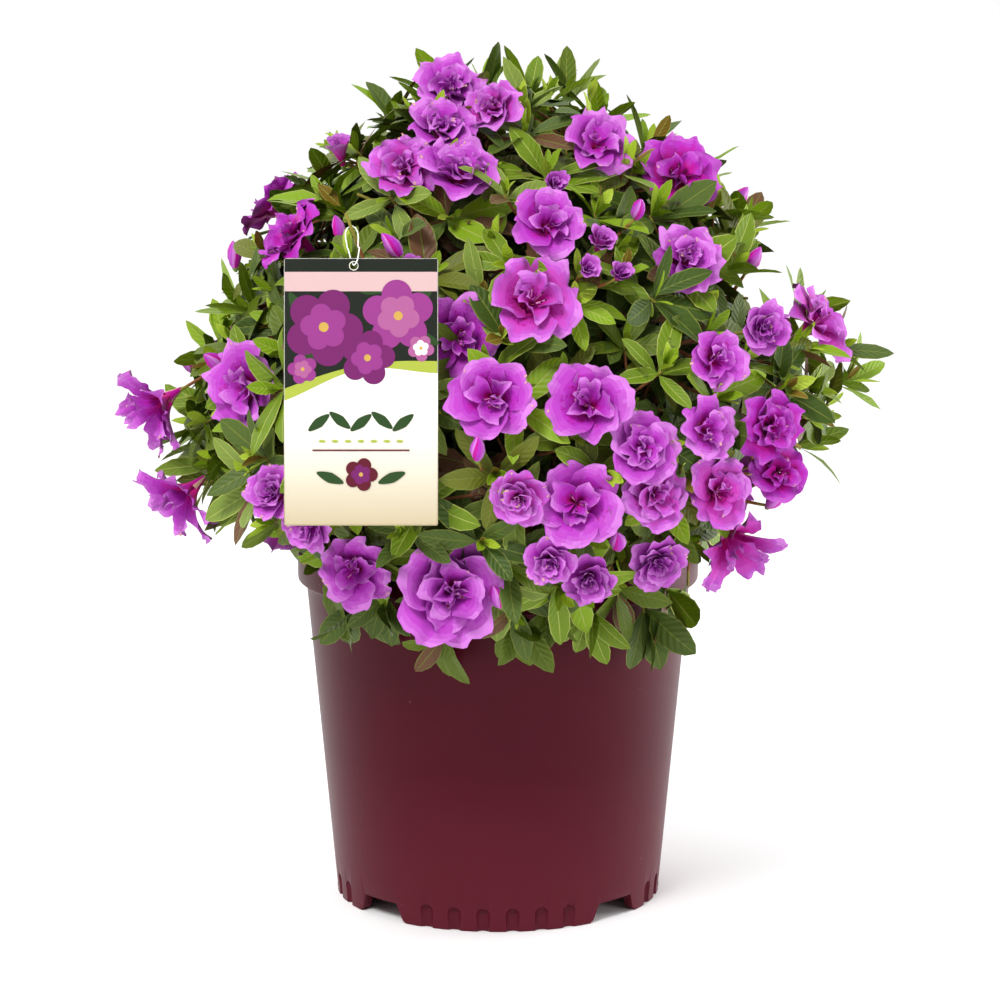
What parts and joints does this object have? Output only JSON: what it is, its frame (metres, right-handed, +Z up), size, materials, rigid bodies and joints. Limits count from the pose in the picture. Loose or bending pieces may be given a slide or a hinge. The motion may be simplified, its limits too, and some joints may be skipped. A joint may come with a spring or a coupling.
{
  "type": "potted azalea shrub",
  "caption": "Evergreen azalea shrub in bloom, a rounded crown of small leaves and ruffled purple flowers on a forked stem, in a round nursery pot with a plant tag on a string.",
  "frame": {"origin": "centre of the pot's flat underside", "axes": "+Z up through the crown, -Y towards the side with the tag, +X to its right"},
  "size_m": [0.5112, 0.4935, 0.5841],
  "materials": {
    "pot": "satin moulded plastic",
    "soil": "loose bark mix",
    "bark": "rough bark",
    "foliage": "leaves and petals",
    "tag": "smooth printed card",
    "string": "smooth"
  },
  "bodies": {
    "root": {"pot": "pot", "soil": "soil", "stem": "bark", "bough_back": "bark", "bough_back_left": "bark", "bough_back_right": "bark", "bough_back_top": "bark", "bough_front": "bark", "bough_front_right": "bark", "bough_left": "bark", "bough_left_back": "bark", "bough_lower_front": "bark", "bough_lower_left": "bark", "bough_lower_right": "bark", "bough_rear_left": "bark", "bough_rear_right": "bark", "bough_right": "bark", "bough_right_back": "bark", "bough_tag_side": "bark", "bough_top_left": "bark", "bough_top_right": "bark", "bough_upper_front": "bark", "bough_upper_left": "bark", "bough_upper_right": "bark", "foliage_back": "foliage", "foliage_back_left": "foliage", "foliage_back_right": "foliage", "foliage_back_top": "foliage", "foliage_front": "foliage", "foliage_front_right": "foliage", "foliage_left": "foliage", "foliage_left_back": "foliage", "foliage_lower_front": "foliage", "foliage_lower_left": "foliage", "foliage_lower_right": "foliage", "foliage_rear_left": "foliage", "foliage_rear_right": "foliage", "foliage_right": "foliage", "foliage_right_back": "foliage", "foliage_tag_side": "foliage", "foliage_top_left": "foliage", "foliage_top_right": "foliage", "foliage_upper_front": "foliage", "foliage_upper_left": "foliage", "foliage_upper_right": "foliage", "tag": "tag", "tag_string": "string"}
  },
  "joints": []
}
